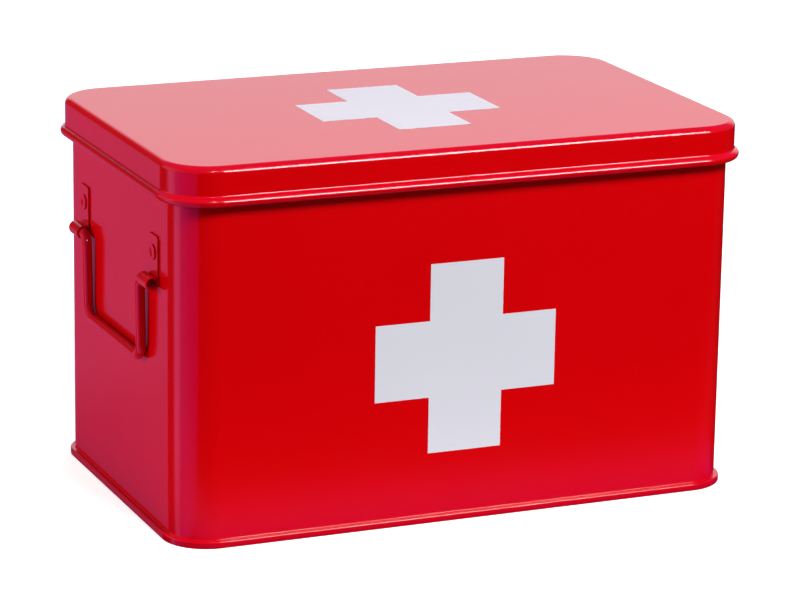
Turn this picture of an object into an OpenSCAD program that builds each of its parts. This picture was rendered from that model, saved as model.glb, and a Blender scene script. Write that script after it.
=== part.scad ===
// Sheet-steel first-aid box with a hinged lid, two drop handles and a lift-out tray.
// X runs along the front, Y from the front to the back and Z up.
// The origin is on the ground, under the middle of the body. Lengths are in millimetres.
// Every wall piece is one profile carried round a rounded rectangle. In such a profile,
// the first coordinate is the distance outside the body's wall and the second is the height.

/* [Body] */
// Length of the body over its walls
body_w = 320; // [290:1:350]
// Depth of the body over its walls
body_d = 195; // [180:1:230]
// Height of the shut box without the painted cross
box_h = 205; // [190:1:240]
// Outer radius of the upright corners
corner_r = 22; // [18:1:30]
// Thickness of the steel sheet of body, base and lid
sheet = 0.6; // [0.5:0.1:0.8]
// Diameter of the rolled rim round the mouth
rim_d = 3; // [2.4:0.1:3.4]
// Width of the upright seam in the back wall
back_seam_w = 7; // [5:0.5:12]
// How far the upright seam stands proud of the back wall
back_seam_proud = 0.6; // [0.4:0.1:0.8]
// Gap between sheets that are folded round each other
fold_gap = 0.15; // [0.1:0.05:0.2]

/* [Base] */
// Height of the folded seam round the foot
foot_h = 4; // [3.6:0.2:5]
// How far the foot seam stands proud of the wall
foot_proud = 2.6; // [2.2:0.1:3.2]
// Radius along the foot seam's two outer edges
foot_edge_r = 1.3; // [0.9:0.1:1.6]
// Height of the floor's underside above the ground
floor_rise = 2.9; // [2:0.1:2.9]

/* [Lid] */
// Height of the lid from its bead to its top
lid_h = 21; // [18:0.5:26]
// How far the lid's skirt stands proud of the body wall
skirt_proud = 4.2; // [3.9:0.1:5]
// Radius round the lid's top edge
lid_edge_r = 3.6; // [2.5:0.1:4.5]
// Gap between the lid and the rim it covers
lid_rest_gap = 0.3; // [0.2:0.1:0.6]
// Diameter of the wire in the lid's bead
wire_d = 3.5; // [3:0.1:3.8]
// Gap round the wire inside the bead
wire_gap = 0.15; // [0.1:0.05:0.2]

/* [Hinge] */
// Distance of each hinge strap from the middle of the back
strap_x = 95; // [60:1:110]
// Width of a hinge strap
strap_w = 24; // [20:1:30]
// Width of the middle tongue, which is rolled over the wire
curl_w = 12; // [9:0.5:14]
// Thickness of a hinge strap
strap_t = 0.8; // [0.6:0.1:1]
// Radial clearance of the rolled tongue on the wire
hinge_fit = 0.05; // [0.02:0.01:0.1]
// Height of a hinge strap's plate on the wall
strap_h = 36; // [32:1:44]
// Clearance between a strap's sides and the lid's notch
notch_gap = 1; // [0.6:0.1:2]
// Reach of the two stop tongues outside the wall
stop_reach = 9; // [8.8:0.1:9.6]
// Height of the stop tongues' tips below the wire's axis
stop_drop = 1.5; // [1.4:0.1:1.8]

/* [Handles] */
// Diameter of the handle wire
handle_d = 5.5; // [5:0.1:6]
// Distance between the middles of a handle's legs
handle_w = 88; // [76:1:100]
// Drop from the pivot to the middle of the grip bar
handle_drop = 45; // [36:1:54]
// Bend radius at the grip bar, to the middle of the wire
grip_bend_r = 7.5; // [6:0.5:10]
// Bend radius below the pivot, to the middle of the wire
pivot_bend_r = 5.5; // [5:0.5:7]
// Height of the pivots above the ground
pivot_z = 136; // [110:1:140]
// Width of a handle bracket
bracket_w = 14; // [11:0.5:18]
// Thickness of a handle bracket
bracket_t = 1.0; // [0.8:0.1:1.4]
// Height of a bracket's top above its pivot
bracket_rise = 25; // [22:0.5:32]
// Radius of a bracket's two top corners
bracket_corner_r = 2; // [1:0.5:3]
// Radial clearance of the handle in its brackets
handle_fit = 0.05; // [0.02:0.01:0.1]
// Play between a handle's bends and its brackets
handle_play = 0.5; // [0.3:0.1:1]
// How far a handle's ends stop short of the brackets' outer sides
handle_end_inset = 7; // [4:0.5:8]

/* [Rivets] */
// Diameter of a rivet's shank
shank_d = 3.2; // [2.6:0.1:3.6]
// Gap round a shank in its hole
shank_gap = 0.05; // [0.03:0.01:0.1]
// Diameter of a handle bracket rivet's dished head
bracket_head_d = 8.4; // [7:0.2:9]
// Diameter of a hinge rivet's dished head
hinge_head_d = 6; // [5:0.2:7]
// Height of a rivet's head
head_h = 0.7; // [0.6:0.1:1]
// Depth of the dish in a rivet's head
dish_h = 0.5; // [0.3:0.05:0.5]
// Diameter of a rivet's set end inside the box
set_end_d = 5.2; // [4.4:0.1:6]
// Height of a rivet's set end inside the box
set_end_h = 0.8; // [0.5:0.1:1]
// Height of a handle bracket's rivet above the pivot
bracket_rivet_rise = 15.5; // [13:0.5:17]
// Distance between the two rivets of a hinge strap
hinge_rivet_pitch = 12; // [10:0.5:16]

/* [Crosses] */
// Length of both bars of a cross
cross_span = 104; // [80:1:120]
// Width of the bars of a cross
cross_bar = 42; // [30:1:50]
// Height of the front cross's middle above the ground
cross_z = 90.5; // [75:0.5:100]
// Thickness of the white enamel
enamel = 0.15; // [0.1:0.05:0.3]

/* [Tray] */
// Thickness of the tray's sheet
tray_sheet = 0.6; // [0.5:0.1:0.8]
// Height of the tray
tray_h = 40; // [30:1:50]
// Distance from the body's rim down to the tray's rim
tray_below_rim = 35.9; // [30:0.1:44]
// Gap between the tray and the body's rim as it is lifted past
tray_gap = 1.5; // [1:0.1:3]
// Diameter of the tray's rolled rim
tray_rim_d = 2.6; // [2.2:0.1:3]
// Radius round the tray's floor
tray_floor_r = 3; // [2:0.5:4]
// Height of the tray's dividers
divider_h = 32; // [20:1:36]
// Thickness of a divider
divider_t = 0.8; // [0.6:0.1:1]
// Width of the foot that a divider stands on
divider_foot = 8; // [6:0.5:12]
// Distance of the long divider behind the tray's middle
divider_y = 15; // [0:1:30]
// Distance of each short divider from the tray's middle
divider_x = 52; // [35:1:70]
// Gap between a divider's ends and what they reach
divider_gap = 0.3; // [0.2:0.1:0.5]
// Diameter of the tray's grip wires
grip_d = 3; // [2.6:0.1:4]
// Distance between the middles of a grip's legs
grip_w = 56; // [46:1:70]
// Height of a grip above the tray's rim
grip_rise = 14; // [12:0.5:18]
// Length of a grip's legs below the tray's rim
grip_leg = 22; // [15:1:26]
// Bend radius of a grip, to the middle of the wire
grip_r = 6; // [4:0.5:8]
// Gap between a grip's legs and the tray's wall
grip_gap = 0.1; // [0.1:0.05:0.2]
// Length of each ledge that carries the tray
ledge_l = 100; // [60:1:130]
// Width of a ledge under the tray
ledge_w = 12; // [10:0.5:16]
// Height of a ledge's leg on the wall
ledge_h = 12; // [8:0.5:16]
// Thickness of a ledge
ledge_t = 1; // [0.8:0.1:1.4]

/* [Hidden] */
$fn = 96;

red = [0.80, 0.01, 0.03];
steel = [0.72, 0.73, 0.75];
white = [0.93, 0.93, 0.95];

// Width of the slit at the loose edge of every roll
roll_slit = 0.3;
// How far a cutting shape reaches past what it cuts, and the length of a rivet hole's cutter
over = 1;
hole_cut_l = 20;
// Gap between the back wall's seam and the foot below it and the rim above it
seam_end_gap = 1;
// Distance of the bead's middle outside the skirt
bead_step = 0.1;
// Inner radius where a hinge strap turns out over the wire
strap_bend_r = 0.7;
// Share of the rolled tongue's inner radius at which its loose end stops, below the wire's axis
curl_end = 0.9;
// Fall of a stop tongue from its tip to its root
stop_fall = 2.4;
// Width of the slits between a strap's tongues, and their depth below the wire
tongue_slit = 0.6;
tongue_slit_depth = 6;
// Distance from a hinge strap's lower end to the head of its lower rivet
strap_rivet_edge = 2;
// Radius round a rivet's head, and the dish's share of the head's radius
head_edge_r = 0.3;
dish_share = 0.75;
// Corner cut off a short divider's rear end, where its foot stops too
divider_trim = 0.1;
// Height of the body's rim
rim_z = box_h - sheet - lid_rest_gap;
// Outer radius of the lid's bead, and the place of its middle
bead_r = wire_d / 2 + wire_gap + sheet;
bead_out = skirt_proud + bead_step;
bead_z = box_h - lid_h + bead_r;
// Radii of the rolled tongue of a hinge strap
curl_in_r = wire_d / 2 + hinge_fit;
curl_out_r = curl_in_r + strap_t;
// Height of the notch in the lid's skirt above the wire's axis
notch_h = curl_out_r + notch_gap;
// Heights of a hinge strap's lower end and of its two rivets
strap_z = bead_z - strap_h;
strap_rivet_low = strap_z + hinge_head_d / 2 + strap_rivet_edge;
// Distance of the handle pivots outside the end walls, and the radii of the brackets' barrels
barrel_in_r = handle_d / 2 + handle_fit;
barrel_out_r = barrel_in_r + bracket_t;
// Distance of a bracket's inner side from the box's middle plane
bracket_y = handle_w / 2 + pivot_bend_r + handle_play;
// Outline and heights of the tray
tray_w = body_w - 2 * (rim_d + tray_gap + tray_rim_d - tray_sheet);
tray_d = body_d - 2 * (rim_d + tray_gap + tray_rim_d - tray_sheet);
tray_r = corner_r - rim_d - tray_gap - tray_rim_d + tray_sheet;
tray_rim_z = rim_z - tray_below_rim;
tray_z = tray_rim_z - tray_h;
tray_floor_z = tray_z + tray_sheet;

// Outline of a rectangle with round corners
module rounded_outline(w, d, r) {
    square([w - 2 * r, d], center = true);
    square([w, d - 2 * r], center = true);
    for (sx = [-1, 1], sy = [-1, 1])
        translate([sx * (w / 2 - r), sy * (d / 2 - r)])
            circle(r);
}

// Straight stretch of a profile, at a distance behind the middle
module straight_run(length, distance) {
    translate([-length / 2, distance, 0])
        rotate([90, 0, 90])
            linear_extrude(length)
                children();
}

// Carries a profile all round a rectangle with round corners
module all_round(w, d, r) {
    for (turn = [0, 180]) {
        rotate([0, 0, turn])
            straight_run(w - 2 * r, d / 2)
                children();
        rotate([0, 0, turn + 90])
            straight_run(d - 2 * r, w / 2)
                children();
    }
    for (sx = [-1, 1], sy = [-1, 1])
        translate([sx * (w / 2 - r), sy * (d / 2 - r), 0])
            rotate([0, 0, atan2(sy, sx) - 45])
                rotate_extrude(angle = 90)
                    translate([r, 0])
                        children();
}

// Round tube in section, with a given wall
module tube_section(outer_r, wall) {
    difference() {
        circle(outer_r);
        circle(outer_r - wall);
    }
}

// Quarter of a tube in section, from the first axis to the second
module bend_section(outer_r, wall) {
    intersection() {
        tube_section(outer_r, wall);
        square(outer_r + over);
    }
}

// Quarter bend of a round wire, from the first axis to the second
module wire_bend(line_r, wire_r) {
    rotate_extrude(angle = 90)
        translate([line_r, 0])
            circle(wire_r);
}

// Stands a shape that was drawn flat upright, with its first axis along Y and its second along Z
module upright() {
    rotate([90, 0, 90])
        children();
}

// Wall sheet with its rolled rim and its foot flange, folded double
module wall_section() {
    roll_r = rim_d / 2;
    flange_z = sheet + fold_gap;
    translate([-sheet, flange_z])
        square([sheet, rim_z - roll_r - flange_z]);
    translate([-sheet, flange_z])
        square([foot_proud - fold_gap, foot_h - 2 * flange_z]);
    difference() {
        translate([-roll_r, rim_z - roll_r])
            tube_section(roll_r, sheet);
        translate([-sheet - roll_slit, rim_z - rim_d])
            square([roll_slit, roll_r]);
    }
}

module body_wall() {
    color(red)
        difference() {
            union() {
                all_round(body_w, body_d, corner_r)
                    wall_section();
                translate([-back_seam_w / 2, body_d / 2 - sheet / 2, foot_h + seam_end_gap])
                    cube([back_seam_w, sheet / 2 + back_seam_proud,
                        rim_z - rim_d - foot_h - 2 * seam_end_gap]);
            }
            each_bracket_rivet()
                rivet_hole();
            each_hinge_rivet()
                rivet_hole();
        }
}

// Base sheet folded down inside the wall, under it and back over the wall's flange
module foot_section() {
    leg_in = -2 * sheet - fold_gap;
    flat = foot_proud - foot_edge_r;
    difference() {
        union() {
            translate([leg_in, 0])
                square([flat - leg_in, foot_h]);
            translate([flat, foot_edge_r])
                square([foot_edge_r, foot_h - 2 * foot_edge_r]);
            for (z = [foot_edge_r, foot_h - foot_edge_r])
                translate([flat, z])
                    circle(foot_edge_r);
        }
        translate([-sheet - fold_gap, sheet])
            square([sheet + 2 * fold_gap, foot_h]);
        translate([-sheet - fold_gap, sheet])
            square([foot_proud + fold_gap, foot_h - 2 * sheet]);
        translate([leg_in - over, floor_rise + sheet])
            square([sheet + fold_gap + over, foot_h]);
    }
}

module base_panel() {
    inset = 1.5 * sheet + fold_gap;
    color(red) {
        all_round(body_w, body_d, corner_r)
            foot_section();
        translate([0, 0, floor_rise])
            linear_extrude(sheet)
                rounded_outline(body_w - 2 * inset, body_d - 2 * inset, corner_r - inset);
    }
}

// Skirt with its rolled bead and its round top edge
module skirt_section() {
    edge_out = skirt_proud - lid_edge_r;
    edge_z = box_h - lid_edge_r;
    translate([skirt_proud - sheet, bead_z + bead_r - sheet])
        square([sheet, edge_z - bead_z - bead_r + sheet]);
    translate([edge_out, edge_z])
        bend_section(lid_edge_r, sheet);
    difference() {
        translate([bead_out, bead_z])
            tube_section(bead_r, sheet);
        translate([skirt_proud, bead_z + bead_r - 2 * sheet])
            square([roll_slit, 3 * sheet]);
    }
}

module lid_shell() {
    top_out = skirt_proud - lid_edge_r;
    color(red)
        difference() {
            union() {
                all_round(body_w, body_d, corner_r)
                    skirt_section();
                translate([0, 0, box_h - sheet])
                    linear_extrude(sheet)
                        rounded_outline(body_w + 2 * top_out, body_d + 2 * top_out, corner_r + top_out);
            }
            for (side = [-1, 1])
                translate([side * strap_x - strap_w / 2 - notch_gap, body_d / 2, bead_z - notch_h])
                    cube([strap_w + 2 * notch_gap, stop_reach + over, 2 * notch_h]);
        }
}

module lid_edge_wire() {
    color(steel)
        all_round(body_w, body_d, corner_r)
            translate([bead_out, bead_z])
                circle(wire_d / 2);
}

// Middle tongue of a hinge strap: up the wall, out over the wire and round it
module curl_section() {
    top = bead_z + curl_out_r;
    turn_r = strap_t + strap_bend_r;
    translate([0, strap_z])
        square([strap_t, top - turn_r - strap_z]);
    translate([turn_r, top - turn_r])
        mirror([1, 0])
            bend_section(turn_r, strap_t);
    translate([turn_r, top - strap_t])
        square([bead_out - turn_r, strap_t]);
    difference() {
        translate([bead_out, bead_z])
            tube_section(curl_out_r, strap_t);
        translate([bead_out - curl_out_r - over, bead_z - curl_end * curl_in_r])
            square([curl_out_r + over, curl_end * curl_in_r + curl_in_r]);
    }
}

// Side tongue of a hinge strap: up the wall and out below the wire, as the lid's stop
module stop_section() {
    tip_z = bead_z - stop_drop;
    root_z = tip_z - stop_fall;
    translate([0, strap_z])
        square([strap_t, root_z - strap_z]);
    polygon([[0, root_z - strap_t], [strap_t, root_z - strap_t], [stop_reach, tip_z - strap_t],
        [stop_reach, tip_z], [strap_t, root_z], [0, root_z]]);
}

module hinge_strap() {
    side_w = (strap_w - curl_w) / 2 - tongue_slit;
    slit_z = bead_z - wire_d - tongue_slit_depth;
    color(red)
        difference() {
            union() {
                straight_run(curl_w, body_d / 2)
                    curl_section();
                for (side = [-1, 1])
                    translate([side * (strap_w - side_w) / 2, 0, 0])
                        straight_run(side_w, body_d / 2)
                            stop_section();
                translate([-strap_w / 2, body_d / 2, strap_z])
                    cube([strap_w, strap_t, slit_z - strap_z]);
            }
            strap_rivets()
                rivet_hole();
        }
}

// Dished rivet through one wall and one plate: its axis is X and the wall's outside is at zero
module rivet(head_d, plate_t) {
    head_r = head_d / 2;
    dish_r = dish_share * head_r;
    ball_r = (dish_r * dish_r + dish_h * dish_h) / (2 * dish_h);
    rotate([0, 90, 0]) {
        translate([0, 0, plate_t])
            rotate_extrude()
                difference() {
                    union() {
                        square([head_r - head_edge_r, head_h]);
                        square([head_r, head_h - head_edge_r]);
                        translate([head_r - head_edge_r, head_h - head_edge_r])
                            circle(head_edge_r, $fn = 24);
                    }
                    translate([0, head_h - dish_h + ball_r])
                        circle(ball_r);
                    translate([-head_r, 0])
                        square([head_r, head_h]);
                }
        translate([0, 0, -sheet])
            cylinder(h = sheet + plate_t, d = shank_d);
        translate([0, 0, -sheet - set_end_h])
            cylinder(h = set_end_h, d = set_end_d);
    }
}

module rivet_hole() {
    rotate([0, 90, 0])
        cylinder(h = hole_cut_l, d = shank_d + 2 * shank_gap, center = true);
}

// The two rivet places of one hinge strap
module strap_rivets() {
    for (rise = [0, hinge_rivet_pitch])
        translate([0, body_d / 2, strap_rivet_low + rise])
            rotate([0, 0, 90])
                children();
}

module each_hinge_rivet() {
    for (side = [-1, 1])
        translate([side * strap_x, 0, 0])
            strap_rivets()
                children();
}

// The rivet place of each handle bracket
module each_bracket_rivet() {
    for (turn = [0, 180], side = [-1, 1])
        rotate([0, 0, turn])
            translate([body_w / 2, side * (bracket_y + bracket_w / 2), pivot_z + bracket_rivet_rise])
                children();
}

module hinge_rivets() {
    color(red)
        each_hinge_rivet()
            rivet(hinge_head_d, strap_t);
}

module bracket_rivets() {
    color(red)
        each_bracket_rivet()
            rivet(bracket_head_d, bracket_t);
}

// Bracket on the right end wall, with its rolled barrel at the bottom
module handle_bracket() {
    color(red)
        translate([body_w / 2, 0, pivot_z])
            difference() {
                union() {
                    upright()
                        linear_extrude(bracket_t)
                            intersection() {
                                rounded_outline(bracket_w, 2 * bracket_rise, bracket_corner_r);
                                translate([-bracket_w, 0])
                                    square([2 * bracket_w, 2 * bracket_rise]);
                            }
                    translate([barrel_out_r, bracket_w / 2, 0])
                        rotate([90, 0, 0])
                            linear_extrude(bracket_w)
                                difference() {
                                    tube_section(barrel_out_r, bracket_t);
                                    translate([bracket_t - barrel_out_r, 0])
                                        square([roll_slit, barrel_out_r]);
                                }
                }
                translate([0, 0, bracket_rivet_rise])
                    rivet_hole();
            }
}

// Places a bracket on the right or left end, at the front or the rear
module bracket_at(end, side) {
    mirror([end < 0 ? 1 : 0, 0, 0])
        translate([0, side * (bracket_y + bracket_w / 2), 0])
            handle_bracket();
}

// Half of a drop handle, with the pivot on the Y axis and the grip bar hanging below
module handle_half() {
    wire_r = handle_d / 2;
    leg_y = handle_w / 2;
    pin_y = leg_y + pivot_bend_r;
    pin_end = bracket_y + bracket_w - handle_end_inset;
    translate([0, pin_y, 0])
        rotate([-90, 0, 0])
            cylinder(h = pin_end - pin_y, r = wire_r);
    translate([0, pin_y, -pivot_bend_r])
        upright()
            rotate([0, 0, 90])
                wire_bend(pivot_bend_r, wire_r);
    translate([0, leg_y, grip_bend_r - handle_drop])
        cylinder(h = handle_drop - grip_bend_r - pivot_bend_r, r = wire_r);
    translate([0, leg_y - grip_bend_r, grip_bend_r - handle_drop])
        upright()
            rotate([0, 0, -90])
                wire_bend(grip_bend_r, wire_r);
}

module drop_handle() {
    bar = handle_w - 2 * grip_bend_r;
    color(red)
        translate([body_w / 2 + barrel_out_r, 0, pivot_z]) {
            handle_half();
            mirror([0, 1, 0])
                handle_half();
            translate([0, -bar / 2, -handle_drop])
                rotate([-90, 0, 0])
                    cylinder(h = bar, d = handle_d);
        }
}

module handle_right() {
    drop_handle();
}

module handle_left() {
    mirror([1, 0, 0])
        drop_handle();
}

// White cross of two equal bars, in enamel
module cross() {
    color(white)
        linear_extrude(enamel) {
            square([cross_span, cross_bar], center = true);
            square([cross_bar, cross_span], center = true);
        }
}

module front_cross() {
    translate([0, -body_d / 2, cross_z])
        rotate([90, 0, 0])
            cross();
}

module lid_cross() {
    translate([0, 0, box_h])
        cross();
}

// Angle strip on the right end wall, level under the tray
module tray_ledge() {
    color(red)
        translate([body_w / 2 - sheet, ledge_l / 2, tray_z])
            rotate([90, 0, 0])
                linear_extrude(ledge_l)
                    mirror([1, 0]) {
                        translate([0, -ledge_h])
                            square([ledge_t, ledge_h - 2 * ledge_t]);
                        translate([2 * ledge_t, -2 * ledge_t])
                            mirror([1, 0])
                                bend_section(2 * ledge_t, ledge_t);
                        translate([2 * ledge_t, -ledge_t])
                            square([ledge_w - 2 * ledge_t, ledge_t]);
                    }
}

// Tray wall with its round floor edge and its rim rolled outwards
module tray_section() {
    roll_r = tray_rim_d / 2;
    translate([-tray_sheet, tray_z + tray_floor_r])
        square([tray_sheet, tray_h - tray_floor_r - roll_r]);
    translate([-tray_floor_r, tray_z + tray_floor_r])
        mirror([0, 1])
            bend_section(tray_floor_r, tray_sheet);
    difference() {
        translate([roll_r - tray_sheet, tray_rim_z - roll_r])
            tube_section(roll_r, tray_sheet);
        translate([0, tray_rim_z - tray_rim_d])
            square([roll_slit, roll_r]);
    }
}

module tray_shell() {
    color(red) {
        all_round(tray_w, tray_d, tray_r)
            tray_section();
        translate([0, 0, tray_z])
            linear_extrude(tray_sheet)
                rounded_outline(tray_w - 2 * tray_floor_r, tray_d - 2 * tray_floor_r, tray_r - tray_floor_r);
    }
}

// Upright plate between two ends along X, with its lower corners cut to clear the floor's radius
module divider_plate(from, to, cut_from, cut_to) {
    rotate([90, 0, 0])
        linear_extrude(divider_t)
            polygon([[from, cut_from], [from + cut_from, 0], [to - cut_to, 0], [to, cut_to],
                [to, divider_h], [from, divider_h]]);
}

module tray_long_divider() {
    reach = tray_w / 2 - tray_sheet - divider_gap;
    foot = reach - tray_floor_r;
    color(red)
        translate([0, divider_y, tray_floor_z]) {
            divider_plate(-reach, reach, tray_floor_r, tray_floor_r);
            translate([-foot, -divider_t, 0])
                cube([2 * foot, divider_foot, divider_t]);
        }
}

// Short divider from the tray's front wall to the long divider
module tray_short_divider() {
    front = -tray_d / 2 + tray_sheet + divider_gap;
    back = divider_y - divider_t - divider_gap;
    color(red)
        translate([divider_x, 0, tray_floor_z]) {
            rotate([0, 0, 90])
                divider_plate(front, back, tray_floor_r, divider_trim);
            translate([0, front + tray_floor_r, 0])
                cube([divider_foot, back - front - tray_floor_r - divider_trim, divider_t]);
        }
}

module tray_short_divider_right() {
    tray_short_divider();
}

module tray_short_divider_left() {
    mirror([1, 0, 0])
        tray_short_divider();
}

// Wire loop inside the tray's right end wall, standing up above its rim
module tray_grip() {
    wire_r = grip_d / 2;
    bar_z = tray_rim_z + grip_rise - wire_r;
    bend_z = bar_z - grip_r;
    bar = grip_w - 2 * grip_r;
    color(steel)
        translate([tray_w / 2 - tray_sheet - grip_gap - wire_r, 0, 0]) {
            translate([0, -bar / 2, bar_z])
                rotate([-90, 0, 0])
                    cylinder(h = bar, r = wire_r);
            for (turn = [0, 180])
                rotate([0, 0, turn]) {
                    translate([0, bar / 2, bend_z])
                        upright()
                            wire_bend(grip_r, wire_r);
                    translate([0, grip_w / 2, tray_rim_z - grip_leg])
                        cylinder(h = bend_z - tray_rim_z + grip_leg, r = wire_r);
                }
        }
}

module tray_grip_right() {
    tray_grip();
}

module tray_grip_left() {
    mirror([1, 0, 0])
        tray_grip();
}

module tray_ledge_right() {
    tray_ledge();
}

module tray_ledge_left() {
    mirror([1, 0, 0])
        tray_ledge();
}

body_wall();
base_panel();
lid_shell();
lid_edge_wire();
translate([-strap_x, 0, 0]) hinge_strap();  // hinge_strap_left
translate([strap_x, 0, 0]) hinge_strap();  // hinge_strap_right
hinge_rivets();
handle_left();
handle_right();
bracket_at(-1, -1);  // bracket_left_front
bracket_at(-1, 1);  // bracket_left_rear
bracket_at(1, -1);  // bracket_right_front
bracket_at(1, 1);  // bracket_right_rear
bracket_rivets();
front_cross();
lid_cross();
tray_ledge_left();
tray_ledge_right();
tray_shell();
tray_long_divider();
tray_short_divider_left();
tray_short_divider_right();
tray_grip_left();
tray_grip_right();
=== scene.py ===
# %% [markdown]
# # A sheet-steel first-aid box
#
# The box is pressed, folded and rolled from thin steel sheet, and then powder-coated red. The construction
# is already there as a fixed frame: every piece at its real size, and the joints of the lid, the handles and
# the tray. This lesson dresses that frame. Each piece that shows is modelled again with the soft edges,
# rolled beads and pressed dimples that a real one has, and gets a painted, enamelled or bare steel finish.
#
# Blender keeps lengths in metres, and `mm` turns a size on a drawing into metres.

# %% Load the frame
from math import atan2, cos, degrees, pi, radians, sin, sqrt

import bmesh
import bpy
from mathutils import Matrix, Vector


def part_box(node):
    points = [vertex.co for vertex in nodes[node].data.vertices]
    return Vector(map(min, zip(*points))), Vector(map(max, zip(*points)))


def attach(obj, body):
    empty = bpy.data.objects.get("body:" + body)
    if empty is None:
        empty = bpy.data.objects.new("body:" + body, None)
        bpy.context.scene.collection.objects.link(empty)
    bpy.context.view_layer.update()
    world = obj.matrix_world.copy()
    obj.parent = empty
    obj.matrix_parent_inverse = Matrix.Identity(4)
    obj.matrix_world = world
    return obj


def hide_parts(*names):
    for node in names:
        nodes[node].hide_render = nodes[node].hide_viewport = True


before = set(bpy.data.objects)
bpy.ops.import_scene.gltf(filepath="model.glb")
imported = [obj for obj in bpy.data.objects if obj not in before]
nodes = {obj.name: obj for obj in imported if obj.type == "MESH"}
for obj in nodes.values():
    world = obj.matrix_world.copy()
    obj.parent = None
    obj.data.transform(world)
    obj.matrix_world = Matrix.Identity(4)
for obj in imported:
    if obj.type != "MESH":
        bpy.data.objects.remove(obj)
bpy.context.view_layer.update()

mm = 0.001
ENDS = ("right", "left")

# %% [markdown]
# ## The camera
#
# The photograph was taken from the left of the front and a little above. A short lens close by would make
# the upright edges lean together, and they hardly do, so the camera has a long lens and stands two metres
# away.

# %% Place the camera
SENSOR_MM = 36
LENS_MM = 166.4
CAMERA_PLACE = (-0.7712, -1.8134, 0.6409)
CAMERA_YAW = radians(23.125)
CAMERA_PITCH = radians(-15.464)
CAMERA_ROLL = radians(0.921)

bpy.ops.object.camera_add(location=CAMERA_PLACE)
camera = bpy.context.active_object
camera.name = "camera"
heading = Matrix.Rotation(-CAMERA_YAW, 4, "Z") @ Matrix.Rotation(pi / 2 + CAMERA_PITCH, 4, "X")
camera.matrix_world = Matrix.Translation(CAMERA_PLACE) @ heading @ Matrix.Rotation(CAMERA_ROLL, 4, "Z")
camera.data.sensor_width = SENSOR_MM
camera.data.lens = LENS_MM
bpy.context.scene.camera = camera
print("The camera stands", round(Vector(CAMERA_PLACE).length, 2), "m from the box")

# %% [markdown]
# ## Sizes
#
# Sizes could be typed in again, but then a piece might miss the one that carries it. So they are read off
# the frame wherever a node marks them: the end walls are where the handle brackets begin, and the front
# wall is where the front cross lies. Bend radii and sheet, which no node marks, are written here once.

# %% Read the main sizes off the frame
half_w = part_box("bracket_right_front")[0].x
half_d = -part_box("front_cross")[1].y
lid_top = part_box("lid_shell")[1].z
rim_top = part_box("body_wall")[1].z
wire_low, wire_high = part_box("lid_edge_wire")
foot_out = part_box("base_panel")[1].x - half_w
foot_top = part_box("base_panel")[1].z
tray_low, tray_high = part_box("tray_shell")

CORNER_R = 22 * mm
SHEET = 0.6 * mm
FOLD_GAP = 0.15 * mm
mid = SHEET / 2
wire_r = (wire_high.z - wire_low.z) / 2
bead_z = (wire_high.z + wire_low.z) / 2
bead_out = wire_high.x - wire_r - half_w
print("Walls", round(2 * half_w / mm), "by", round(2 * half_d / mm), "mm, wire radius", round(wire_r / mm, 2))

# %% [markdown]
# ## Tools in one line
#
# Modelling by hand means: select, open edit mode, pick some faces or edges, use one tool. A script could
# also build all points and faces itself, but the hand's way is the one to learn. These helpers say each move
# in one line. `pick` selects by a test on each part's place or direction, which stays right when a size
# changes. Two places less than `CLOSE` apart count as one.

# %% Select and pick
CLOSE = 1e-5


def only(*pieces):
    """Selects these pieces alone and makes the first one active."""
    bpy.ops.object.select_all(action="DESELECT")
    for piece in pieces:
        piece.select_set(True)
    bpy.context.view_layer.objects.active = pieces[0]


def pick(piece, kind, test=lambda part: True):
    """Opens a piece in edit mode with only those faces, edges or corners selected that pass a test."""
    only(piece)
    bpy.ops.object.mode_set(mode="EDIT")
    bpy.ops.mesh.select_mode(type=kind)
    bpy.ops.mesh.select_all(action="DESELECT")
    shape = bmesh.from_edit_mesh(piece.data)
    parts = {"FACE": shape.faces, "EDGE": shape.edges, "VERT": shape.verts}[kind]
    for part in [part for part in parts if test(part)]:
        part.select_set(True)
    bmesh.update_edit_mesh(piece.data)


def close_edit():
    bpy.ops.object.mode_set(mode="OBJECT")


print("Ready to select and pick")

# %% [markdown]
# Moving, copying and joining come next. A finished piece keeps its place in its mesh and not in its object,
# so `settle` follows every move. A modifier is applied as soon as it is added, so that each step can be
# looked at on its own.


# %% Move, copy, join and modify
def settle(piece, name=None):
    """Puts a piece's place, turn and size into its mesh."""
    only(piece)
    bpy.ops.object.transform_apply(location=True, rotation=True, scale=True)
    if name:
        piece.name = name
        piece.data.name = name
    return piece


def shift(piece, way):
    """Moves a piece, and keeps its place in its mesh."""
    only(piece)
    bpy.ops.transform.translate(value=way)
    return settle(piece)


def modify(piece, kind, **settings):
    """Adds a modifier with these settings and applies it."""
    only(piece)
    bpy.ops.object.modifier_add(type=kind)
    modifier = piece.modifiers[-1]
    for setting, value in settings.items():
        setattr(modifier, setting, value)
    bpy.ops.object.modifier_apply(modifier=modifier.name)
    return piece


def weld(name, *pieces):
    """Joins several meshes into the first."""
    only(*pieces)
    if len(pieces) > 1:
        bpy.ops.object.join()
    pieces[0].name = name
    pieces[0].data.name = name
    return pieces[0]


def copy_of(piece, name):
    """A copy with a mesh of its own."""
    only(piece)
    bpy.ops.object.duplicate()
    twin = bpy.context.active_object
    twin.name = name
    twin.data.name = name
    return twin


print("Ready to move, copy, join and modify")

# %% [markdown]
# Light falls on a mesh by the direction of its faces, and thin sheet shows every fault there. So faces are
# turned outwards after each step that may turn them in, and weighted normals keep the flat walls flat beside
# their soft bends. Wires, barrels and rivets turn by coarser steps, so they are smooth up to a wider angle.
# A mirrored piece is shaded afresh, because the mirror turns its faces but not their shading.

# %% Turn faces out, soften and shade
SHEET_TURN = 35
ROUND_TURN = 40


def face_out(piece):
    """Turns all faces outwards."""
    pick(piece, "FACE")
    bpy.ops.mesh.normals_make_consistent(inside=False)
    close_edit()
    return piece


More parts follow.
